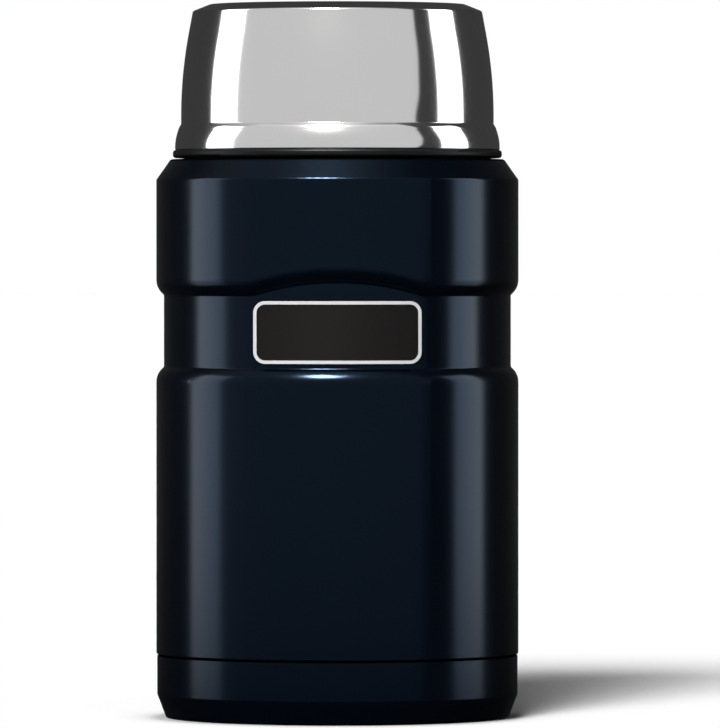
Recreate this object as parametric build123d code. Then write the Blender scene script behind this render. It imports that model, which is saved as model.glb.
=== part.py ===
from build123d import *
import os
from math import copysign, degrees, radians, sqrt, tan

# An insulated food jar: a double-walled steel vessel, a screw-in stopper and a
# screw-on lid that turns over to serve as a bowl.  Millimetres, +Z up.  The origin
# is the centre of the foot, and the badge faces -Y.


# ---------------------------------------------------------------------------
# Driving dimensions
# ---------------------------------------------------------------------------

# Fits
lap_fit = 0.05            # between fixed pieces that slip over one another
moulded_fit = 0.2         # between moulded pieces that are pressed together
turning_gap = 0.2         # between a seal and the piece that turns beside it

# Casing, from the ground up
barrel_radius = 47.0
shell_wall = 0.6
lower_barrel_length = 72.55
upper_barrel_length = 27.84
skirt_length = 9.8        # necked-in tail that the base cup is pressed onto
joggle_radius = 0.3
shoulder_width = 3.74
shoulder_height = 5.32
shoulder_edge_radius = 1.0

# Recessed band around the casing
band_depth = 1.96
band_length = 18.6
band_corner_radius = 0.5
lower_step_angle = 46.0   # degrees from vertical
lower_step_radius = 4.6
upper_step_angle = 43.0
upper_step_radius = 4.6

# Arch in the band's upper edge, over the badge
arch_rise = 3.4
arch_radius = 80.0
arch_blend_radius = 15.0
arch_sections = 24

# Badge
badge_width = 43.0
badge_margin = 1.3        # from the badge to the band's straight ends
badge_corner_radius = 3.0
badge_thickness = 0.6
badge_rim_width = 0.85
badge_rim_height = 0.25
adhesive_thickness = 0.15
adhesive_inset = 1.5

# Base
base_height = 16.05
base_inset = 0.2          # how far the base cup stands inside the barrel's radius
base_wall = 0.8
base_chamfer_width = 2.3
base_chamfer_height = 6.1
base_edge_radius = 0.8
seam_width = 0.5
foot_width = 4.3
foot_recess = 1.5
foot_recess_slope = 1.5

# Vacuum end plate, closing the casing from below, and its seal
plate_wall = 0.6
plate_rim = 2.0
plate_bend_radius = 0.8
dimple_radius = 8.0
dimple_depth = 0.8
dimple_slope = 1.0
pump_hole_radius = 1.2
seal_bead_radius = 3.0
seal_bead_height = 1.2

# Inner vessel
vessel_wall = 0.5
vacuum_gap = 1.94         # beside the recessed band, where the casing is closest
floor_gap = 3.5           # from the end plate to the vessel's floor
floor_rim = 8.0           # height of the floor dish, up to its weld
floor_corner_radius = 6.5
vessel_shoulder_height = 12.5
vessel_shoulder_radius = 9.0
throat_length = 2.5
throat_radius_below = 3.0
ledge_width = 3.0
ledge_radius = 0.8
mouth_depth = 14.0        # from the lip down to the sealing ledge

# Things sealed in the vacuum
foil_thickness = 0.2
foil_margin = 4.0
getter_offset = 20.0
getter_cup_radius = 5.0
getter_cup_depth = 2.0
getter_cup_wall = 0.3
getter_pellet_height = 1.4

# Neck
neck_height = 12.0        # from the shoulder up to the lip
neck_gap = 0.9            # vacuum between the two walls of the neck
collar_flange_width = 3.4
collar_bend_radius = 0.4

# Screw threads, both with three starts and the same lead
thread_starts = 3
thread_lead = 12.0
bead_height = 1.1
bead_root_width = 1.7
bead_crest_width = 1.0
bead_foot_depth = 0.3     # how far a bead's foot is set into its wall
bead_span = 150.0         # degrees that one bead runs around
bead_fade = 20.0          # degrees over which its ends run out
bead_end_share = 0.05     # share of its height that is left at its ends
bead_steps = 15
thread_clearance = 0.4
neck_thread_start = 3.2   # above the shoulder
mouth_thread_start = 4.6  # above the sealing ledge

# Lid that serves as a bowl
bowl_inset = 1.12         # how far the steel stands inside the shoulder's edge
bowl_wall = 0.5
rim_gap = 0.3             # daylight between the shoulder and the rim seal
rim_seal_height = 2.1
rim_seal_projection = 0.56
rim_seal_rounding = 0.8
bowl_mouth_edge = 0.3
bulge_width = 1.57
bulge_height = 6.7
bulge_side_height = 2.62  # upright part above the rim seal
bulge_side_curve = 13.0
bulge_brow_width = 0.55   # steeper part below the waist
bulge_brow_height = 0.87
bulge_brow_curve = 3.5
waist_crease = 0.3
bowl_wall_height = 29.3
bowl_wall_turn = 0.44     # share of the wall's height at which its lean begins
bowl_wall_lean = 3.05
bowl_wall_curve = 118.0
bevel_width = 4.47
bevel_height = 1.78
crown_edge_radius = 0.7
crown_corner_radius = 2.0

# Bowl's inner wall
liner_wall = 0.4
liner_gap = 1.1
liner_top_gap = 2.1
liner_flange = 0.75
liner_corner_radius = 4.0
liner_bend_radius = 0.3

# Threaded ring moulded for the bowl
ring_fit = 0.17
ring_wall = 1.2
ring_ledge_thickness = 1.2
ring_foot_width = 1.3
ring_foot_thickness = 0.5
ring_snap_width = 1.1
ring_snap_height = 1.2
ring_snap_slope = 1.0
ring_floor_gap = 0.15     # from the shoulder to the ring's wall

# Stopper
plug_wall = 2.0
plug_depth = 12.0         # from the lip down to the shoulder above the gasket
nose_length = 3.0
nose_clearance = 0.7
nose_wall = 2.0
gasket_fit = 0.05
gasket_seat = 1.4         # width of the gasket that bears on the ledge
gasket_rounding = 0.4
retainer_width = 0.4
retainer_height = 0.8
cap_seat = 0.8            # width of the cap that rests on the lip
cap_height = 5.0
cap_floor = 1.8
cap_rim_width = 3.0
cap_edge_radius = 0.8
grip_width = 11.0
grip_wall = 2.5
grip_corner_radius = 3.0
grip_core_length = 48.0
cap_clearance = 0.4       # between the cap and the bowl's ledge that passes it


# ---------------------------------------------------------------------------
# Levels and radii that follow from them
# ---------------------------------------------------------------------------

# Levels
barrel_bottom = base_height + seam_width
skirt_bottom = barrel_bottom - skirt_length
lower_barrel_top = barrel_bottom + lower_barrel_length
band_bottom = lower_barrel_top + band_depth / tan(radians(lower_step_angle))
band_top = band_bottom + band_length
upper_barrel_bottom = band_top + band_depth / tan(radians(upper_step_angle))
shoulder_bottom = upper_barrel_bottom + upper_barrel_length
shoulder_top = shoulder_bottom + shoulder_height
lip_top = shoulder_top + neck_height
ledge_top = lip_top - mouth_depth
plate_top = skirt_bottom + plate_rim
vessel_floor_bottom = plate_top + floor_gap
vessel_weld = vessel_floor_bottom + floor_rim
throat_bottom = ledge_top - throat_length
vessel_wall_top = throat_bottom - vessel_shoulder_height

# Levels of the bowl, closed
bowl_bottom = shoulder_top + rim_gap
steel_bottom = bowl_bottom + rim_seal_height
waist = steel_bottom + bulge_height
bevel_bottom = waist + bowl_wall_height
crown = bevel_bottom + bevel_height
ring_bottom = shoulder_top + ring_floor_gap
ring_top = lip_top + ring_ledge_thickness
liner_top = crown - bowl_wall - liner_top_gap

# Levels of the stopper, closed
plug_shoulder = lip_top - plug_depth
nose_bottom = plug_shoulder - nose_length
plug_floor = nose_bottom + nose_wall
cap_bottom = lip_top - cap_floor
cap_top = lip_top + cap_height

# Radii of the casing and the bowl, from the outside in
band_radius = barrel_radius - band_depth
base_radius = barrel_radius - base_inset
skirt_radius = base_radius - base_wall - lap_fit
shoulder_radius = barrel_radius - shoulder_width
bowl_radius = shoulder_radius - bowl_inset
rim_seal_radius = bowl_radius + rim_seal_projection
waist_radius = bowl_radius - bulge_width
bevel_radius = waist_radius - bowl_wall_lean
crown_radius = bevel_radius - bevel_width
liner_radius = waist_radius - bowl_wall - liner_gap
ring_radius = waist_radius - bowl_wall - ring_fit
ring_root = ring_radius - ring_wall
neck_radius = ring_root - thread_clearance - bead_height

# Radii of the vessel and the stopper
mouth_radius = neck_radius - shell_wall - neck_gap - vessel_wall
throat_radius = mouth_radius - ledge_width
vessel_radius = band_radius - shell_wall - vacuum_gap - vessel_wall
vessel_outer = vessel_radius + vessel_wall
plug_radius = mouth_radius - bead_height - thread_clearance
nose_radius = throat_radius - nose_clearance
cap_radius = mouth_radius + cap_seat
ring_ledge_radius = cap_radius + cap_clearance
plug_bore = plug_radius - plug_wall
nose_bore = nose_radius - nose_wall


# ---------------------------------------------------------------------------
# Helpers
# ---------------------------------------------------------------------------

def sheet(points, radii, wall):
    """Section of a pressed sheet: a filleted path, and the same path moved to its left."""
    corners = [Vector(*point) for point in points]
    runs = [(end - start).normalized() for start, end in zip(corners, corners[1:])]
    lefts = [Vector(-run.Y, run.X) for run in runs]
    moved = [corners[0] + lefts[0] * wall]
    moved_radii = []
    for index in range(1, len(runs)):
        before, after = lefts[index - 1], lefts[index]
        moved.append(corners[index] + (before + after) * (wall / (1 + before.dot(after))))
        turn = before.X * after.Y - before.Y * after.X
        moved_radii.append(max(radii[index - 1] - copysign(wall, turn), 0))
    moved.append(corners[-1] + lefts[-1] * wall)
    near = FilletPolyline(*corners, radius=radii)
    far = FilletPolyline(*moved, radius=moved_radii)
    ends = [Line(near @ 0, far @ 0), Line(near @ 1, far @ 1)]
    return make_face([*near.edges(), *far.edges(), *ends])


def turned(section, start=0.0, sweep=360.0):
    """A section in the half plane (radius, height), turned about the vertical axis."""
    return revolve(Rot(0, 0, start) * (Plane.XZ * section), Axis.Z, sweep)


def moulded(points, radii=0):
    """A solid of revolution from the closed outline of its section."""
    return turned(make_face(FilletPolyline(*points, radius=radii, close=True)))


def thread_beads(root_radius, reach, first_level, first_angle):
    """The starts of a screw thread; reach is positive outwards and negative inwards."""
    foot = root_radius - copysign(bead_foot_depth, reach)
    sections = []
    for step in range(bead_steps + 1):
        angle = bead_span * step / bead_steps
        fade = min(1, angle / bead_fade, (bead_span - angle) / bead_fade)
        crest = root_radius + reach * max(fade, bead_end_share)
        level = first_level + thread_lead * angle / 360
        outline = Polyline(
            (foot, level - bead_root_width / 2),
            (crest, level - bead_crest_width / 2),
            (crest, level + bead_crest_width / 2),
            (foot, level + bead_root_width / 2),
            close=True,
        )
        sections.append((Rot(0, 0, angle) * (Plane.XZ * make_face(outline))).face())
    bead = loft(sections)
    spacing = 360 / thread_starts
    return [Rot(0, 0, first_angle + spacing * start) * bead for start in range(thread_starts)]


# The gaps between one thread's beads are half a pitch around from the other's beads.
mating_angle = 180 / thread_starts


# ---------------------------------------------------------------------------
# Casing
# ---------------------------------------------------------------------------

def casing_section(rise=0.0):
    """Section of the casing, with the band's upper edge lifted by rise."""
    points = [
        (skirt_radius, skirt_bottom),
        (skirt_radius, barrel_bottom),
        (barrel_radius, barrel_bottom),
        (barrel_radius, lower_barrel_top),
        (band_radius, band_bottom),
        (band_radius, band_top + rise),
        (barrel_radius, upper_barrel_bottom + rise),
        (barrel_radius, shoulder_bottom),
        (shoulder_radius, shoulder_top),
        (neck_radius + collar_bend_radius + lap_fit, shoulder_top),
    ]
    radii = [
        joggle_radius,
        joggle_radius,
        lower_step_radius,
        band_corner_radius,
        band_corner_radius,
        upper_step_radius,
        shoulder_edge_radius,
        shoulder_edge_radius,
    ]
    return sheet(points, radii, shell_wall)


arch_reach = arch_radius + arch_blend_radius
arch_half_length = sqrt(arch_reach**2 - (arch_reach - arch_rise) ** 2)
arch_half_angle = degrees(arch_half_length / barrel_radius)


def arch_height(distance):
    """Rise of the arch at a distance along the barrel: a crown arc and two blend arcs."""
    distance = abs(distance)
    if distance <= arch_half_length * arch_radius / arch_reach:
        return arch_rise - arch_radius + sqrt(arch_radius**2 - distance**2)
    left_over = max(arch_half_length - distance, 0)
    return arch_blend_radius - sqrt(arch_blend_radius**2 - left_over**2)


def outer_shell():
    sections = []
    for step in range(arch_sections + 1):
        angle = arch_half_angle * (2 * step / arch_sections - 1)
        section = casing_section(arch_height(radians(angle) * barrel_radius))
        sections.append((Rot(0, 0, angle - 90) * (Plane.XZ * section)).face())
    front = loft(sections)
    rest = turned(casing_section(), arch_half_angle - 90, 360 - 2 * arch_half_angle)
    return front + rest


def neck_collar():
    points = [
        (neck_radius + collar_flange_width, shoulder_top - shell_wall),
        (neck_radius, shoulder_top - shell_wall),
        (neck_radius, lip_top - vessel_wall),
    ]
    tube = turned(sheet(points, [collar_bend_radius], shell_wall))
    level = shoulder_top + neck_thread_start
    return tube + thread_beads(neck_radius, bead_height, level, 0)


def base_cup():
    foot_radius = base_radius - base_chamfer_width
    recess_radius = foot_radius - foot_width
    points = [
        (0, foot_recess),
        (recess_radius - foot_recess_slope, foot_recess),
        (recess_radius, 0),
        (foot_radius, 0),
        (base_radius, base_chamfer_height),
        (base_radius, base_height),
    ]
    radii = [base_edge_radius] * 4
    return turned(sheet(points, radii, base_wall))


def vacuum_end_plate():
    rim_radius = skirt_radius - shell_wall - lap_fit
    points = [
        (rim_radius, skirt_bottom),
        (rim_radius, plate_top),
        (dimple_radius, plate_top),
        (dimple_radius - dimple_slope, plate_top + dimple_depth),
        (pump_hole_radius, plate_top + dimple_depth),
    ]
    radii = [plate_bend_radius, plate_bend_radius, 0]
    return turned(sheet(points, radii, plate_wall))


def tip_off_seal():
    dimple_top = plate_top + dimple_depth
    dimple_ceiling = dimple_top - plate_wall
    stem = Pos(0, 0, dimple_ceiling) * Cylinder(
        pump_hole_radius - lap_fit, plate_wall, align=(Align.CENTER, Align.CENTER, Align.MIN)
    )
    bead_bottom = dimple_ceiling - seal_bead_height
    arc = TangentArc((0, bead_bottom), (seal_bead_radius, dimple_ceiling), tangent=(1, 0))
    top = Line((seal_bead_radius, dimple_ceiling), (0, dimple_ceiling))
    side = Line((0, dimple_ceiling), (0, bead_bottom))
    return turned(make_face([arc, top, side])) + stem


# ---------------------------------------------------------------------------
# Badge
# ---------------------------------------------------------------------------

badge_level = (band_bottom + band_top) / 2
badge_height = band_length - 2 * badge_margin
badge_back = band_radius + lap_fit + adhesive_thickness


def curved_label(width, height, corner_radius, inner_radius, thickness):
    """A rounded rectangle, wrapped on the front of a cylinder."""
    outline = Pos(0, badge_level) * RectangleRounded(width, height, corner_radius)
    block = extrude(Plane.XZ * outline, barrel_radius)
    shell = [(inner_radius, 0), (inner_radius + thickness, 0)]
    shell += [(inner_radius + thickness, shoulder_top), (inner_radius, shoulder_top)]
    return block & moulded(shell)


def badge_plate():
    rim_thickness = badge_thickness + badge_rim_height
    plate = curved_label(
        badge_width, badge_height, badge_corner_radius, badge_back, rim_thickness
    )
    field = curved_label(
        badge_width - 2 * badge_rim_width,
        badge_height - 2 * badge_rim_width,
        badge_corner_radius - badge_rim_width,
        badge_back + badge_thickness,
        rim_thickness,
    )
    return plate - field


def badge_adhesive():
    return curved_label(
        badge_width - 2 * adhesive_inset,
        badge_height - 2 * adhesive_inset,
        badge_corner_radius - adhesive_inset,
        band_radius + lap_fit,
        adhesive_thickness,
    )


# ---------------------------------------------------------------------------
# Inner vessel and what the vacuum holds
# ---------------------------------------------------------------------------

def inner_vessel():
    points = [
        (mouth_radius + vessel_wall + neck_gap + shell_wall, lip_top),
        (mouth_radius, lip_top),
        (mouth_radius, ledge_top),
        (throat_radius, ledge_top),
        (throat_radius, throat_bottom),
        (vessel_radius, vessel_wall_top),
        (vessel_radius, vessel_weld),
    ]
    radii = [
        0,
        ledge_radius,
        ledge_radius,
        throat_radius_below,
        vessel_shoulder_radius,
    ]
    tube = turned(sheet(points, radii, vessel_wall))
    level = ledge_top + mouth_thread_start
    return tube + thread_beads(mouth_radius, -bead_height, level, mating_angle)


def inner_floor():
    points = [
        (0, vessel_floor_bottom),
        (vessel_outer, vessel_floor_bottom),
        (vessel_outer, vessel_weld),
    ]
    return turned(sheet(points, [floor_corner_radius], vessel_wall))


def radiation_foil():
    inner = vessel_outer + lap_fit
    outer = inner + foil_thickness
    bottom = vessel_weld + foil_margin
    top = vessel_wall_top - foil_margin
    return moulded([(inner, bottom), (outer, bottom), (outer, top), (inner, top)])


def getter_cup():
    low = vessel_floor_bottom - getter_cup_depth
    points = [
        (getter_cup_radius, low),
        (getter_cup_radius, vessel_floor_bottom),
        (0, vessel_floor_bottom),
    ]
    return Pos(getter_offset, 0, 0) * turned(sheet(points, [0], getter_cup_wall))


def getter_pellet():
    radius = getter_cup_radius - getter_cup_wall - lap_fit
    top = vessel_floor_bottom - getter_cup_wall
    return Pos(getter_offset, 0, top) * Cylinder(
        radius, getter_pellet_height, align=(Align.CENTER, Align.CENTER, Align.MAX)
    )


# ---------------------------------------------------------------------------
# Stopper
# ---------------------------------------------------------------------------

retainer_top = plug_shoulder - nose_length + retainer_height


def stopper_body():
    retainer_radius = nose_radius + retainer_width
    outline = [
        (0, nose_bottom),
        (retainer_radius, nose_bottom),
        (retainer_radius, retainer_top),
        (nose_radius, retainer_top),
        (nose_radius, plug_shoulder),
        (plug_radius, plug_shoulder),
        (plug_radius, lip_top),
        (plug_bore, lip_top),
        (plug_bore, plug_shoulder + plug_wall),
        (nose_bore, plug_shoulder + plug_wall),
        (nose_bore, plug_floor),
        (0, plug_floor),
    ]
    level = ledge_top + mouth_thread_start
    return moulded(outline) + thread_beads(plug_radius, bead_height, level, 0)


def stopper_gasket():
    inner = nose_radius + gasket_fit
    outer = throat_radius + gasket_seat
    outline = [
        (inner, ledge_top),
        (outer, ledge_top),
        (outer, plug_shoulder),
        (inner, plug_shoulder),
    ]
    return moulded(outline, [0, gasket_rounding, gasket_rounding, 0])


def stopper_foam():
    step = plug_shoulder + plug_wall + moulded_fit
    outline = [
        (0, plug_floor),
        (nose_bore - moulded_fit, plug_floor),
        (nose_bore - moulded_fit, step),
        (plug_bore - moulded_fit, step),
        (plug_bore - moulded_fit, cap_bottom),
        (0, cap_bottom),
    ]
    return moulded(outline)


def stopper_cap():
    spigot_radius = plug_bore - moulded_fit
    outline = [
        (0, cap_bottom),
        (spigot_radius, cap_bottom),
        (spigot_radius, lip_top),
        (cap_radius, lip_top),
        (cap_radius, cap_top),
        (0, cap_top),
    ]
    disc = moulded(outline, [0, 0, 0, 0, cap_edge_radius, 0])
    well = Circle(cap_radius - cap_rim_width) - Rectangle(2 * cap_radius, grip_width)
    well = fillet(well.vertices(), grip_corner_radius)
    hollows = extrude(Pos(0, 0, lip_top) * well, cap_height)
    core = Pos(0, 0, cap_bottom) * Box(
        grip_core_length,
        grip_width - 2 * grip_wall,
        cap_floor + cap_height - grip_wall,
        align=(Align.CENTER, Align.CENTER, Align.MIN),
    )
    return disc - hollows - core


# ---------------------------------------------------------------------------
# Bowl
# ---------------------------------------------------------------------------

def bowl_shell():
    brow_radius = waist_radius + bulge_brow_width
    wall_turn = waist + bowl_wall_height * bowl_wall_turn
    points = [
        (ring_radius + moulded_fit, steel_bottom),
        (bowl_radius, steel_bottom),
        (bowl_radius, steel_bottom + bulge_side_height),
        (brow_radius, waist - bulge_brow_height),
        (waist_radius, waist),
        (waist_radius, wall_turn),
        (bevel_radius, bevel_bottom),
        (crown_radius, crown),
        (0, crown),
    ]
    radii = [
        bowl_mouth_edge,
        bulge_side_curve,
        bulge_brow_curve,
        waist_crease,
        bowl_wall_curve,
        crown_edge_radius,
        crown_corner_radius,
    ]
    return turned(sheet(points, radii, bowl_wall))


def bowl_liner():
    foot = ring_top + liner_wall
    wall_middle = (foot + liner_top) / 2
    points = [
        (liner_radius + liner_flange, foot),
        (liner_radius, foot),
        (liner_radius, wall_middle),
        (liner_radius - bowl_wall_lean, liner_top),
        (0, liner_top),
    ]
    lean_curve = (wall_middle - foot) * bowl_wall_curve / bowl_wall_height
    radii = [liner_bend_radius, lean_curve, liner_corner_radius]
    return turned(sheet(points, radii, liner_wall))


def bowl_thread_ring():
    foot_radius = ring_radius + ring_foot_width
    foot_top = bowl_bottom + ring_foot_thickness
    snap_radius = ring_radius + ring_snap_width
    snap_bottom = steel_bottom + bowl_wall
    snap_top = snap_bottom + ring_snap_height
    outline = [
        (ring_root, ring_bottom),
        (ring_radius, ring_bottom),
        (ring_radius, bowl_bottom),
        (foot_radius, bowl_bottom),
        (foot_radius, foot_top),
        (ring_radius, foot_top),
        (ring_radius, snap_bottom),
        (snap_radius, snap_bottom),
        (snap_radius, snap_top),
        (ring_radius, snap_top + ring_snap_slope),
        (ring_radius, ring_top),
        (ring_ledge_radius, ring_top),
        (ring_ledge_radius, lip_top),
        (ring_root, lip_top),
    ]
    level = shoulder_top + neck_thread_start
    return moulded(outline) + thread_beads(ring_root, -bead_height, level, mating_angle)


def bowl_rim_seal():
    foot_radius = ring_radius + ring_foot_width + turning_gap
    foot_top = bowl_bottom + ring_foot_thickness + turning_gap
    inner = ring_radius + turning_gap
    outline = [
        (foot_radius, bowl_bottom),
        (rim_seal_radius, bowl_bottom),
        (rim_seal_radius, steel_bottom),
        (inner, steel_bottom),
        (inner, foot_top),
        (foot_radius, foot_top),
    ]
    return moulded(outline, [0, rim_seal_rounding, rim_seal_rounding, 0, 0, 0])


# ---------------------------------------------------------------------------
# One STEP file for each piece
# ---------------------------------------------------------------------------

PIECES = [
    outer_shell,
    neck_collar,
    base_cup,
    vacuum_end_plate,
    tip_off_seal,
    badge_plate,
    badge_adhesive,
    inner_vessel,
    inner_floor,
    radiation_foil,
    getter_cup,
    getter_pellet,
    stopper_body,
    stopper_gasket,
    stopper_foam,
    stopper_cap,
    bowl_shell,
    bowl_liner,
    bowl_thread_ring,
    bowl_rim_seal,
]

os.makedirs("parts", exist_ok=True)
for piece in PIECES:
    export_step(piece(), f"parts/{piece.__name__}.step")
print(f"height {crown:.2f}, barrel radius {barrel_radius:.2f}, {len(PIECES)} pieces")
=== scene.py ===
# %% [markdown]
# # An insulated food jar
# This lesson dresses a finished CAD model: a steel jar in dark gloss paint, with a
# polished steel lid that turns over to serve as a bowl.  The CAD gives every piece its
# size and place.  What is left for Blender is what the eye sees: surfaces that catch
# light as paint, steel, rubber and moulded plastic do, and a small studio to see them in.

# %% Load the frame
import math

import bpy
from mathutils import Matrix, Vector


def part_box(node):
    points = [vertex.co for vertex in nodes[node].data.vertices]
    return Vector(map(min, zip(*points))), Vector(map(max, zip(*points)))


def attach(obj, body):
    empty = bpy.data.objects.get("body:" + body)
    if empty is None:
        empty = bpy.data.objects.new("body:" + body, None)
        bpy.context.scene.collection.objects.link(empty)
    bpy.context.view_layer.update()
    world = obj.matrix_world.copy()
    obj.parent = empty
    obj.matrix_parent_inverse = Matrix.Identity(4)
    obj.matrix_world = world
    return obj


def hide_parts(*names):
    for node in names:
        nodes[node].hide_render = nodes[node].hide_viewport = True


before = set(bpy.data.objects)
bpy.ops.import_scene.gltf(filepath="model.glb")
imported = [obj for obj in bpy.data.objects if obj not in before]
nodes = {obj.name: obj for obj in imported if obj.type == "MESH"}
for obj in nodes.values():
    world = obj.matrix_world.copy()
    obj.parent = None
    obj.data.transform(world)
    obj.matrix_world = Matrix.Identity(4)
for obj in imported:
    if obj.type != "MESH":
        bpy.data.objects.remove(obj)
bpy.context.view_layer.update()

MM = 0.001
DEGREE = math.pi / 180


def deselect_all():
    """Operators act on whatever is selected, so each step starts from nothing."""
    bpy.ops.object.select_all(action="DESELECT")


# %% [markdown]
# ## Writing node trees as arithmetic
# A material is a small program.  Wiring it by hand hides what it computes, so the class
# below wraps a node's output and gives it Python's operators: `1 - mask` adds a Math
# node and hands back its output.  A recipe is the whole tree, and everything that isn't
# an operator goes through its method `node`.


# %% A small language for node trees
class Wire:
    """The output of a node, with arithmetic that adds Math nodes."""

    def __init__(self, recipe, socket):
        self.recipe = recipe
        self.socket = socket

    def __add__(self, other):
        return self.recipe.math("ADD", self, other)

    def __sub__(self, other):
        return self.recipe.math("SUBTRACT", self, other)

    def __rsub__(self, other):
        return self.recipe.math("SUBTRACT", other, self)

    def __mul__(self, other):
        return self.recipe.math("MULTIPLY", self, other)

    def __truediv__(self, other):
        return self.recipe.math("DIVIDE", self, other)

    def __rtruediv__(self, other):
        return self.recipe.math("DIVIDE", other, self)

    def __pow__(self, other):
        return self.recipe.math("POWER", self, other)

    def __rpow__(self, other):
        return self.recipe.math("POWER", other, self)

    __radd__ = __add__
    __rmul__ = __mul__


class Recipe:
    """The node tree of one material or world, and the ways to add to it."""

    def __init__(self, owner):
        owner.use_nodes = True
        self.tree = owner.node_tree
        self.tree.nodes.clear()

    def node(self, kind, settings=None, inputs=None, output=0):
        """Adds a node: first its settings, then the values or wires of its sockets."""
        made = self.tree.nodes.new(kind)
        for name, value in (settings or {}).items():
            setattr(made, name, value)
        for name, value in (inputs or {}).items():
            if isinstance(value, Wire):
                self.tree.links.new(value.socket, made.inputs[name])
            else:
                made.inputs[name].default_value = value
        return Wire(self, made.outputs[output]) if made.outputs else None

    def math(self, operation, first, second=0.0):
        return self.node("ShaderNodeMath", {"operation": operation}, {0: first, 1: second})

    def place(self):
        """The point's x, y and z on the piece, in metres."""
        point = self.node("ShaderNodeTexCoord", output="Object")
        return [self.node("ShaderNodeSeparateXYZ", inputs={0: point}, output=i) for i in range(3)]

    def vector(self, x, y, z):
        return self.node("ShaderNodeCombineXYZ", inputs={0: x, 1: y, 2: z})

    def noise(self, vector, scale, detail):
        return self.node(
            "ShaderNodeTexNoise",
            inputs={"Vector": vector, "Scale": scale, "Detail": detail, "Roughness": 0.5},
        )

    def step(self, value, low, high):
        """0 below low, 1 above high, and a smooth rise between them."""
        return self.node(
            "ShaderNodeMapRange",
            {"interpolation_type": "SMOOTHSTEP"},
            {"Value": value, "From Min": low, "From Max": high},
        )

    def band(self, value, rise, fall):
        """1 between the rise and the fall, which are a (low, high) pair each."""
        return self.step(value, *rise) * (1 - self.step(value, *fall))

    def blend(self, share, first, second):
        """One colour turning into another."""
        return self.node(
            "ShaderNodeMix",
            {"data_type": "RGBA"},
            {"Factor": share, 6: first, 7: second},
            output=2,
        )

    def clouded(self, clouds, colour, darkest):
        """A colour that the clouds darken, down to that share of it."""
        dark = tuple(channel * darkest for channel in colour)
        return self.blend(clouds, (*dark, 1.0), (*colour, 1.0))

    def bump(self, height, depth):
        """A relief of that depth in metres."""
        return self.node(
            "ShaderNodeBump",
            inputs={"Height": height, "Distance": depth, "Strength": 1.0},
        )

    def principled(self, **values):
        """A Principled BSDF with these sockets."""
        sockets = {name.replace("_", " "): value for name, value in values.items()}
        return self.node("ShaderNodeBsdfPrincipled", inputs=sockets)

    def painted_shade_black(self):
        """Dead black that mirrors nothing: the painted shade of hollows and gaps."""
        return self.principled(Base_Color=grey(0.0006), Roughness=0.9, Specular_IOR_Level=0.0)

    def emission(self, level):
        return self.node("ShaderNodeEmission", inputs={"Color": grey(1.0), "Strength": level})

    def mix(self, share, first, second):
        """One shader turning into another."""
        return self.node("ShaderNodeMixShader", inputs={0: share, 1: first, 2: second})

    def close(self, surface, kind="ShaderNodeOutputMaterial"):
        """Makes that shader the result of the tree."""
        self.node(kind, inputs={"Surface": surface})


def new_material(name):
    material = bpy.data.materials.new(name)
    return material, Recipe(material)


def grey(level):
    return (level, level, level, 1.0)


# %% [markdown]
# ## Camera
# A long lens from a few metres away keeps the jar's sides nearly parallel.  The camera
# stands a little below the lid's top, so the rings above it curve up and those below it
# curve down.

# %% Set up the camera
CAMERA_PLACE = Vector((0.0, -2.396, 0.123))
CAMERA_AIM = Vector((0.00587, 0.0, 0.0917))
LENS = 456.3

deselect_all()
bpy.ops.object.camera_add(location=CAMERA_PLACE)
camera = bpy.context.object
camera.name = "camera"
camera.data.lens = LENS
camera.data.clip_end = 50.0
camera.rotation_euler = (CAMERA_AIM - CAMERA_PLACE).to_track_quat("-Z", "Y").to_euler()
bpy.context.scene.camera = camera
print("camera:", LENS, "mm lens at", tuple(CAMERA_PLACE))

# %% [markdown]
# ## Studio
# Gloss paint and polished steel have almost no colour of their own: they show what
# stands around them.  So the studio is a ring of screens around the jar: a pale one in
# front, a tall soft box at each side, and black ones behind.  All of them are painted on
# the inside of one dome that only reflections see.


# %% Directions
def direction(azimuth, elevation):
    """A unit vector; azimuth 0 is towards the camera and grows to the right."""
    a, e = azimuth * DEGREE, elevation * DEGREE
    return Vector((math.sin(a) * math.cos(e), -math.cos(a) * math.cos(e), math.sin(e)))


def only_in_reflections(piece):
    for rays in ("camera", "diffuse", "shadow", "transmission"):
        setattr(piece, "visible_" + rays, False)


def aim(lamp, towards):
    """Turns a lamp so that it shines from that direction."""
    lamp.rotation_euler = (-towards).to_track_quat("-Z", "Y").to_euler()


# %% [markdown]
# A screen or box lies between two azimuths, in degrees, and between two heights, which
# are the sine of the elevation.  Every edge is soft, so it is a pair of numbers.  The
# right edge of the front screen leans, and its lean changes by some degrees over each of
# three heights.  Two hazes fill in above: one high in front and one over the left box.

# %% The screens, painted on a dome
DOME_RADIUS = 1.4
SCREEN_LEVEL = 0.75
SCREEN_LEFT = (-80, -78)
SCREEN_RIGHT = (61, 63)
SCREEN_TOP = (0.80, 0.90)
RIGHT_LEAN = 6.7
LEAN_CHANGES = [(-0.02, 0.10, 3.0), (0.10, 0.22, 3.7), (0.22, 0.38, 1.5)]
BOX_LEVEL = 4.8
LEFT_BOX = [(-106, -104), (-80, -78)]
RIGHT_BOX = [(78, 80), (103.5, 105.5)]
BOX_TOP = (0.55, 0.68)
SCREEN_FOOT = (-0.32, -0.28)
BLACK_LEVEL = 0.05
GLOW_AT = direction(-8.0, 77.0)
GLOW_LEVEL = 1.3
GLOW_SPREAD = 20.0
LEFT_AT = direction(-85.0, 52.0)
LEFT_LEVEL = 0.6
LEFT_SPREAD = 22.0

deselect_all()
bpy.ops.mesh.primitive_uv_sphere_add(segments=96, ring_count=48, radius=DOME_RADIUS)
dome = bpy.context.object
dome.name = "studio_dome"
only_in_reflections(dome)

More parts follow.
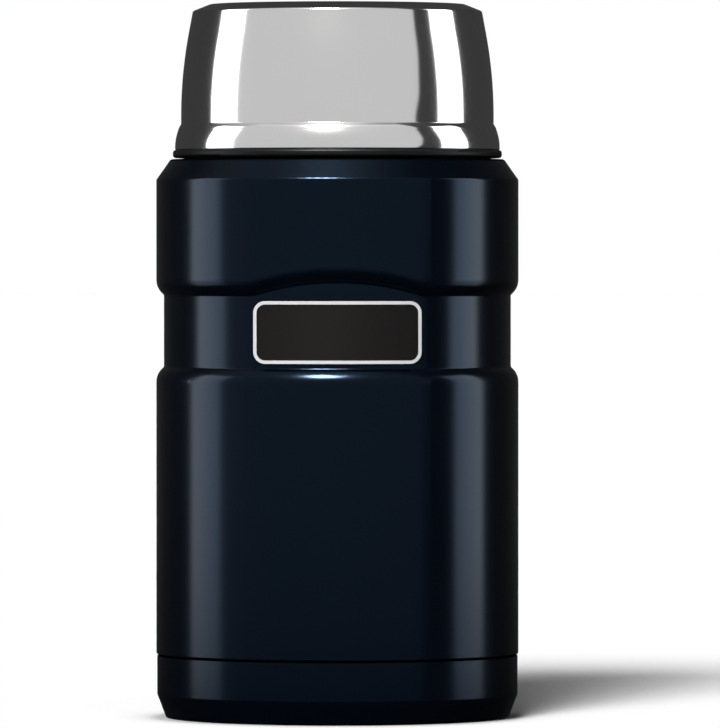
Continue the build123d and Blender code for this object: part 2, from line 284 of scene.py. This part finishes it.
dome_material, paint = new_material("studio_screens")
x, y, z = paint.place()
turn = paint.math("ARCTAN2", x, y * -1.0) / DEGREE
reach = (x * x + y * y + z * z) ** 0.5
height = z / reach


def haze(towards, spread):
    """A round glow that fades away from a direction, over that many degrees."""
    cosine = (x * towards.x + y * towards.y + z * towards.z) / reach
    share = paint.math("ARCCOSINE", cosine) / DEGREE / spread
    return math.e ** (share * share * -1.0)


leaning = RIGHT_LEAN - sum(by * paint.step(height, low, high) for low, high, by in LEAN_CHANGES)
foot = paint.step(height, *SCREEN_FOOT)
screen = paint.step(turn, *SCREEN_LEFT) * (1 - paint.step(turn + leaning, *SCREEN_RIGHT))
screen = screen * (1 - paint.step(height, *SCREEN_TOP)) * foot
boxes = paint.band(turn, *LEFT_BOX) + paint.band(turn, *RIGHT_BOX)
boxes = boxes * (1 - paint.step(height, *BOX_TOP)) * foot
level = BLACK_LEVEL + (SCREEN_LEVEL - BLACK_LEVEL) * screen + (BOX_LEVEL - BLACK_LEVEL) * boxes
level = paint.math("MAXIMUM", level, LEFT_LEVEL * haze(LEFT_AT, LEFT_SPREAD))
level = level + GLOW_LEVEL * haze(GLOW_AT, GLOW_SPREAD)
paint.close(paint.emission(level))
dome.data.materials.append(dome_material)
print("dome:", len(dome_material.node_tree.nodes), "nodes")

# %% [markdown]
# ## Dark table
# Low down, the side bands on the jar fade: there the paint looks past its own foot onto
# the table.  A disk that only reflections see, dark under the jar and thinner further
# out, does that without greying the white floor.

# %% Table seen in reflections
TABLE_RADIUS = 1.38
TABLE_DEPTH = 1 * MM
TABLE_FADE = 0.55
TABLE_FALLOFF = 1.3
TABLE_LEVEL = 0.015

deselect_all()
bpy.ops.mesh.primitive_circle_add(
    vertices=96, radius=TABLE_RADIUS, fill_type="NGON", location=(0, 0, -TABLE_DEPTH)
)
table = bpy.context.object
table.name = "dark_table"
only_in_reflections(table)
table_material, dark = new_material("table_reflection")
table_x, table_y, _ = dark.place()
out = (table_x * table_x + table_y * table_y) ** 0.5
thickness = 1.0 / (1.0 + (out / TABLE_FADE) ** TABLE_FALLOFF)
clear = dark.node("ShaderNodeBsdfTransparent")
dark.close(dark.mix(thickness, clear, dark.emission(TABLE_LEVEL)))
table.data.materials.append(table_material)
print("table:", TABLE_RADIUS, "m in radius, half as dark at", TABLE_FADE, "m")

# %% [markdown]
# ## Key light
# A small, very bright disk high in front draws the bright lines along the edges.  It is
# a lamp of its own, because a lamp is sampled directly and its reflection stays smooth
# where a bright spot on the dome would sparkle.  Only reflections see it.
#
# What throws the shadow is a row of three sun lamps.  A sun lights the whole floor
# evenly.  Side by side they act as one light that is wider than it is tall, so the
# shadow is softer at its sides than at its far end.

# %% Key lamp
KEY_AT = direction(-11.0, 50.0)
KEY_DISTANCE = 1.35
KEY_SIZE = 2 * KEY_DISTANCE * math.tan(8.5 * DEGREE)
KEY_LEVEL = 170.0
KEY_COLOUR = (1.0, 0.913, 0.87)

deselect_all()
bpy.ops.object.light_add(type="AREA", location=KEY_AT * KEY_DISTANCE)
lamp = bpy.context.object
lamp.name = "key_lamp"
lamp.data.shape = "DISK"
lamp.data.size = KEY_SIZE
lamp.data.color = KEY_COLOUR
lamp.data.energy = KEY_LEVEL * math.pi * KEY_SIZE**2
aim(lamp, KEY_AT)
lamp.visible_diffuse = False
print("key lamp:", round(lamp.data.energy, 1), "W over", round(KEY_SIZE, 3), "m")

# %% Suns
SUN_STRENGTH = 5.6
SUN_AZIMUTHS = (-22.5, -16.0, -9.5)
SUN_ELEVATION = 34.0
SUN_WIDTH = 15 * DEGREE

for azimuth in SUN_AZIMUTHS:
    deselect_all()
    bpy.ops.object.light_add(type="SUN", location=KEY_AT)
    sun = bpy.context.object
    sun.name = "key_light"
    sun.data.energy = SUN_STRENGTH / len(SUN_AZIMUTHS)
    sun.data.angle = SUN_WIDTH
    aim(sun, direction(azimuth, SUN_ELEVATION))
    sun.visible_glossy = False
print("suns:", len(SUN_AZIMUTHS))

# %% [markdown]
# ## Floor and background
# The background is plain white to the camera and to reflections, and it lights the
# scene only at a plain level.  The floor is white by its own colour, and the suns and
# the air together bring it up to white where the jar leaves it alone.  Close around
# the foot a painted shadow darkens the floor's colour, which sets the jar firmly on it.

# %% World
AMBIENT = 0.12

world = bpy.data.worlds.new("white_studio")
bpy.context.scene.world = world
air = Recipe(world)
seen = sum(
    air.node("ShaderNodeLightPath", output=rays)
    for rays in ("Is Camera Ray", "Is Glossy Ray", "Is Transmission Ray")
)
strength = AMBIENT + (1 - AMBIENT) * air.step(seen, 0.0, 1.0)
background = air.node("ShaderNodeBackground", inputs={"Color": grey(1.0), "Strength": strength})
air.close(background, "ShaderNodeOutputWorld")
print("world:", world.name, "lights at", AMBIENT)

# %% Floor
FLOOR_SIZE = 40.0
FLOOR_GREY = 0.9
PAINTED_SHADOW_GREY = 0.5
FOOT_RADIUS = 46.8 * MM
PAINTED_SHADOW_REACH = 3.5 * MM

deselect_all()
bpy.ops.mesh.primitive_plane_add(size=FLOOR_SIZE)
floor = bpy.context.object
floor.name = "floor"
floor.visible_glossy = False
floor_material, pale = new_material("pale_floor")
floor_x, floor_y, _ = pale.place()
# Painted contact shadow: the floor's colour darkens towards the jar's foot.
from_foot = (floor_x * floor_x + floor_y * floor_y) ** 0.5 - FOOT_RADIUS
painted_shadow = math.e ** (pale.math("MAXIMUM", from_foot, 0.0) * (-1.0 / PAINTED_SHADOW_REACH))
shade = pale.blend(painted_shadow, grey(FLOOR_GREY), grey(PAINTED_SHADOW_GREY))
pale.close(pale.node("ShaderNodeBsdfDiffuse", inputs={"Color": shade}))
floor.data.materials.append(floor_material)
print("floor:", FLOOR_SIZE, "m wide")

# %% [markdown]
# ## Finishes
# Each finish is a few lines: a base colour, how rough it is, and a relief that is too
# fine to model.  The relief follows how the piece was made.  Turned and polished steel
# keeps faint rings around the axis, so its pattern changes quickly with height and
# radius and slowly around the jar.
#
# The root of the neck is painted shade, dead black like the casing's top edge beside it.
# Under the closed lid it lies behind a gap of 0.15 mm, and bare steel would shine through.

# %% Turned metal
SWAY = 25.0
CLOUD_SCALE = 45.0
ROOT_RADIUS = (36.3 * MM, 36.5 * MM)
ROOT_FOOT = (143.4 * MM, 143.6 * MM)
ROOT_TOP = (145.3 * MM, 145.5 * MM)


def turned_metal(name, colour, roughness, pitch, depth, spread, painted_shade_at_root=False):
    """Steel or braze, with turning rings of that pitch and depth."""
    material, metal = new_material(name)
    x, y, z = metal.place()
    radius = (x * x + y * y) ** 0.5
    around = metal.vector(x * SWAY, y * SWAY, (radius + z) / pitch)
    rings = metal.noise(around, 1.0, detail=3.0)
    clouds = metal.noise(metal.vector(x, y, z), CLOUD_SCALE, detail=4.0)
    surface = metal.principled(
        Base_Color=metal.clouded(clouds, colour, darkest=0.97),
        Metallic=1.0,
        Roughness=roughness + spread * (rings - 0.5) + spread * (clouds - 0.5),
        Normal=metal.bump(rings, depth),
    )
    # Painted shade: under the closed lid the neck's root turns dead black.
    if painted_shade_at_root:
        root_shade = metal.step(radius, *ROOT_RADIUS) * metal.band(z, ROOT_FOOT, ROOT_TOP)
        surface = metal.mix(root_shade, surface, metal.painted_shade_black())
    metal.close(surface)
    return material


polished_steel = turned_metal(
    "polished_steel",
    colour=(0.71, 0.71, 0.71),
    roughness=0.09,
    pitch=0.25 * MM,
    depth=0.0001 * MM,
    spread=0.01,
)
bare_steel = turned_metal(
    "bare_steel",
    colour=(0.62, 0.615, 0.60),
    roughness=0.24,
    pitch=0.35 * MM,
    depth=0.002 * MM,
    spread=0.10,
    painted_shade_at_root=True,
)
braze = turned_metal(
    "braze",
    colour=(0.55, 0.50, 0.38),
    roughness=0.38,
    pitch=1.1 * MM,
    depth=0.02 * MM,
    spread=0.12,
)

# %% Gloss paint
PAINT_DEEP = (0.0003, 0.0008, 0.0020, 1.0)
PAINT_PALE = (0.0005, 0.0011, 0.0026, 1.0)
PAINT_GLOSS = (0.36, 0.62, 1.0, 1.0)
PAINT_IOR = 1.265
PEEL_SCALE = 620.0
PEEL_DEPTH = 0.0012 * MM
SEAM_FOOT = (15.8 * MM, 15.9 * MM)
SEAM_TOP = (16.6 * MM, 16.8 * MM)
SEAM_RADIUS = (46.5 * MM, 46.7 * MM)
SHOULDER_TOP = (144.1 * MM, 144.6 * MM)


def make_casing_paint():
    """Gloss paint, with painted shade in the seam's groove and on the shoulder's top."""
    material, coat = new_material("casing_paint")
    x, y, z = coat.place()
    point = coat.vector(x, y, z)
    peel = coat.noise(point, PEEL_SCALE, detail=2.0)
    clouds = coat.noise(point, 30.0, detail=5.0)
    radius = (x * x + y * y) ** 0.5
    # Painted shade: the seam's groove and the shoulder's top, which the lid keeps in shadow, are
    # dead black.
    seam = coat.band(z, SEAM_FOOT, SEAM_TOP) * (1 - coat.step(radius, *SEAM_RADIUS))
    painted_shade = coat.math("MAXIMUM", seam, coat.step(z, *SHOULDER_TOP))
    gloss = coat.principled(
        Base_Color=coat.blend(clouds, PAINT_DEEP, PAINT_PALE),
        Roughness=0.17 + 0.03 * clouds,
        IOR=PAINT_IOR,
        Specular_Tint=PAINT_GLOSS,
        Normal=coat.bump(peel, PEEL_DEPTH),
    )
    coat.close(coat.mix(painted_shade, gloss, coat.painted_shade_black()))
    return material


casing_paint = make_casing_paint()

# %% Badge
BADGE_FIELD = (0.0026, 0.0025, 0.0023, 1.0)
BADGE_RIM = (0.38, 0.38, 0.385, 1.0)
BADGE_GRAIN = 0.006 * MM
RIM_RADIUS = (45.90 * MM, 45.96 * MM)


def make_badge():
    """A plain dark plate; what stands out furthest from the axis is its pale rim."""
    material, plate = new_material("badge")
    x, y, z = plate.place()
    rim = plate.step((x * x + y * y) ** 0.5, *RIM_RADIUS)
    grain = plate.noise(plate.vector(x, y, z), 2400.0, detail=2.0)
    surface = plate.principled(
        Base_Color=plate.blend(rim, BADGE_FIELD, BADGE_RIM),
        Roughness=0.42 - 0.10 * rim + 0.1 * (grain - 0.5),
        IOR=1.2,
        Normal=plate.bump(grain, BADGE_GRAIN),
    )
    plate.close(surface)
    return material


badge = make_badge()

# %% Moulded plastic, rubber and silicone
COOL_GLOSS = (0.84, 0.94, 1.0, 1.0)
GRAIN_SPREAD = 0.08
CLOUD_SPREAD = 0.06


def moulded(name, colour, roughness, grain_scale, grain_depth, **more):
    """Plastic or rubber with the fine grain that its mould leaves."""
    material, mould = new_material(name)
    x, y, z = mould.place()
    point = mould.vector(x, y, z)
    grain = mould.noise(point, grain_scale, detail=3.0)
    clouds = mould.noise(point, 60.0, detail=4.0)
    surface = mould.principled(
        Base_Color=mould.clouded(clouds, colour, darkest=0.85),
        Roughness=roughness + GRAIN_SPREAD * (grain - 0.5) + CLOUD_SPREAD * (clouds - 0.5),
        Normal=mould.bump(grain, grain_depth),
        **more,
    )
    mould.close(surface)
    return material


stopper_plastic = moulded("stopper_plastic", (0.022, 0.022, 0.024), 0.42, 1800.0, 0.01 * MM)
ring_plastic = moulded(
    "ring_plastic",
    (0.004, 0.004, 0.0045),
    0.5,
    1800.0,
    0.01 * MM,
    IOR=1.12,
    Specular_Tint=COOL_GLOSS,
)
black_rubber = moulded(
    "black_rubber",
    (0.003, 0.003, 0.0032),
    0.42,
    1500.0,
    0.006 * MM,
    IOR=1.18,
    Specular_Tint=COOL_GLOSS,
)
clear_silicone = moulded(
    "clear_silicone",
    (0.62, 0.62, 0.60),
    0.36,
    900.0,
    0.006 * MM,
    Subsurface_Weight=0.25,
)
adhesive = moulded("adhesive", (0.05, 0.05, 0.05), 0.7, 1200.0, 0.01 * MM)
getter = moulded("getter", (0.14, 0.14, 0.145), 0.8, 1500.0, 0.05 * MM)
foam = moulded("foam", (0.82, 0.81, 0.76), 0.9, 700.0, 0.2 * MM)

# %% Foil
CREASES = 120.0
CREASE_DEPTH = 0.2 * MM


def make_foil():
    """Crumpled foil: its creases are the borders between scattered cells."""
    material, sheet = new_material("foil")
    x, y, z = sheet.place()
    crease = sheet.node(
        "ShaderNodeTexVoronoi",
        {"feature": "DISTANCE_TO_EDGE"},
        {"Vector": sheet.vector(x, y, z), "Scale": CREASES},
    )
    surface = sheet.principled(
        Base_Color=grey(0.8),
        Metallic=1.0,
        Roughness=0.16 + 0.1 * crease,
        Normal=sheet.bump(crease, CREASE_DEPTH),
    )
    sheet.close(surface)
    return material


foil = make_foil()
print("materials:", sorted(material.name for material in bpy.data.materials))

# %% [markdown]
# ## Lid skin
# The lid is one sheet of steel, pressed and polished until it mirrors the studio.  A
# mirror shows every facet, and the CAD mesh has only as many as its shape needs.  So the
# sheet's section is drawn once more along the same corners and radii, point by point,
# and spun around the axis in fine steps.  Its reflections then run smooth and unbroken.

# %% Rounding the corners of a section
SUPPORT = 0.1 * MM
ARC_ANGLE = 4 * DEGREE
ARC_LENGTH = 1.2 * MM
ARC_STEPS = 4


def rounded(corners, radii):
    """The path through the corners, with an arc at each; points are (radius, height).

    A short straight run before and after each arc keeps its shading off the flats.
    """
    path = [corners[0]]
    for before, corner, after, radius in zip(corners, corners[1:], corners[2:], radii):
        back = (before - corner).normalized()
        ahead = (after - corner).normalized()
        bend = math.pi - back.angle(ahead)
        reach = radius * math.tan(bend / 2)
        centre = corner + (back + ahead).normalized() * (radius / math.cos(bend / 2))
        first = corner + back * reach - centre
        last = corner + ahead * reach - centre
        swing = math.copysign(bend, first.cross(last))
        steps = max(ARC_STEPS, round(bend / ARC_ANGLE), round(radius * bend / ARC_LENGTH))
        path.append(centre + first + back * min(SUPPORT, reach))
        for step in range(steps + 1):
            path.append(centre + Matrix.Rotation(swing * step / steps, 2) @ first)
        path.append(centre + last + ahead * min(SUPPORT, reach))
    return path + [corners[-1]]


# %% Spinning a section into a skin
SPIN_STEPS = 256
MERGE_DISTANCE = 0.001 * MM
CREASE_ANGLE = 35 * DEGREE


def spun_sheet(name, section, wall):
    """Draws a section by extruding a point, spins it, and gives it a wall inside."""
    deselect_all()
    bpy.ops.mesh.primitive_plane_add(size=MM)
    skin = bpy.context.object
    skin.name = name
    bpy.ops.object.mode_set(mode="EDIT")
    bpy.ops.mesh.merge(type="CENTER")
    bpy.ops.transform.translate(value=(section[0].x, 0, section[0].y))
    for start, end in zip(section, section[1:]):
        move = (end.x - start.x, 0, end.y - start.y)
        bpy.ops.mesh.extrude_vertices_move(TRANSFORM_OT_translate={"value": move})
    bpy.ops.mesh.select_all(action="SELECT")
    bpy.ops.mesh.spin(steps=SPIN_STEPS, angle=2 * math.pi, center=(0, 0, 0), axis=(0, 0, 1))
    bpy.ops.mesh.select_all(action="SELECT")
    bpy.ops.mesh.remove_doubles(threshold=MERGE_DISTANCE)
    bpy.ops.mesh.normals_make_consistent(inside=False)
    bpy.ops.object.mode_set(mode="OBJECT")
    bpy.ops.object.modifier_add(type="SOLIDIFY")
    solidify = skin.modifiers[-1]
    solidify.thickness = wall
    solidify.offset = -1.0
    solidify.use_even_offset = True
    bpy.ops.object.modifier_apply(modifier=solidify.name)
    bpy.ops.object.shade_smooth_by_angle(angle=CREASE_ANGLE)
    return skin


# %% [markdown]
# The section runs from the lip, which turns in over the seal, up the bulge, over its
# brow to the waist, up the wall, which leans in from partway up, and over the bevel to
# the middle of the crown.  One radius belongs to each corner between the two ends.

# %% Lid skin
LID_WALL = 0.5 * MM
FLANGE_WIDTH = 2.07 * MM
BULGE_SIDE = 2.62 * MM
BULGE_HEIGHT = 6.7 * MM
BULGE_WIDTH = 1.57 * MM
BROW_WIDTH = 0.55 * MM
BROW_HEIGHT = 0.87 * MM
WALL_HEIGHT = 29.3 * MM
WALL_TURN = 0.44
WALL_LEAN = 3.05 * MM
BEVEL_WIDTH = 4.47 * MM
LID_RADII = [r * MM for r in (0.3, 13.0, 3.5, 0.3, 118.0, 0.7, 2.0)]

low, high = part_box("bowl_shell")
lid_radius, lid_bottom, crown = high.y, low.z, high.z
waist_radius = lid_radius - BULGE_WIDTH
waist = lid_bottom + BULGE_HEIGHT
bevel_radius = waist_radius - WALL_LEAN
lid_corners = [
    (lid_radius - FLANGE_WIDTH, lid_bottom),
    (lid_radius, lid_bottom),
    (lid_radius, lid_bottom + BULGE_SIDE),
    (waist_radius + BROW_WIDTH, waist - BROW_HEIGHT),
    (waist_radius, waist),
    (waist_radius, waist + WALL_HEIGHT * WALL_TURN),
    (bevel_radius, waist + WALL_HEIGHT),
    (bevel_radius - BEVEL_WIDTH, crown),
    (0.0, crown),
]
lid_section = rounded([Vector(corner) for corner in lid_corners], LID_RADII)
lid_skin = spun_sheet("lid_skin", lid_section, LID_WALL)
lid_skin.data.materials.append(polished_steel)
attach(lid_skin, "bowl")
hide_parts("bowl_shell")
lid_box = [Vector(corner) for corner in lid_skin.bound_box]
print("lid skin:", len(lid_skin.data.polygons), "faces, from", lid_box[0], "to", lid_box[6])
print("lid in the CAD, from", low, "to", high)

# %% Dress the CAD nodes
FINISHES = {
    "outer_shell": casing_paint,
    "base_cup": casing_paint,
    "neck_collar": bare_steel,
    "inner_vessel": bare_steel,
    "inner_floor": bare_steel,
    "vacuum_end_plate": bare_steel,
    "getter_cup": bare_steel,
    "tip_off_seal": braze,
    "radiation_foil": foil,
    "getter_pellet": getter,
    "badge_plate": badge,
    "badge_adhesive": adhesive,
    "stopper_body": stopper_plastic,
    "stopper_cap": stopper_plastic,
    "stopper_foam": foam,
    "stopper_gasket": clear_silicone,
    "bowl_shell": polished_steel,
    "bowl_liner": bare_steel,
    "bowl_thread_ring": ring_plastic,
    "bowl_rim_seal": black_rubber,
}
for name, material in FINISHES.items():
    piece = nodes[name]
    piece.data.materials.clear()
    piece.data.materials.append(material)
print("finishes given:", len(FINISHES), "left bare:", sorted(set(nodes) - set(FINISHES)))

# %% Finish
bpy.context.scene.view_settings.view_transform = "Standard"
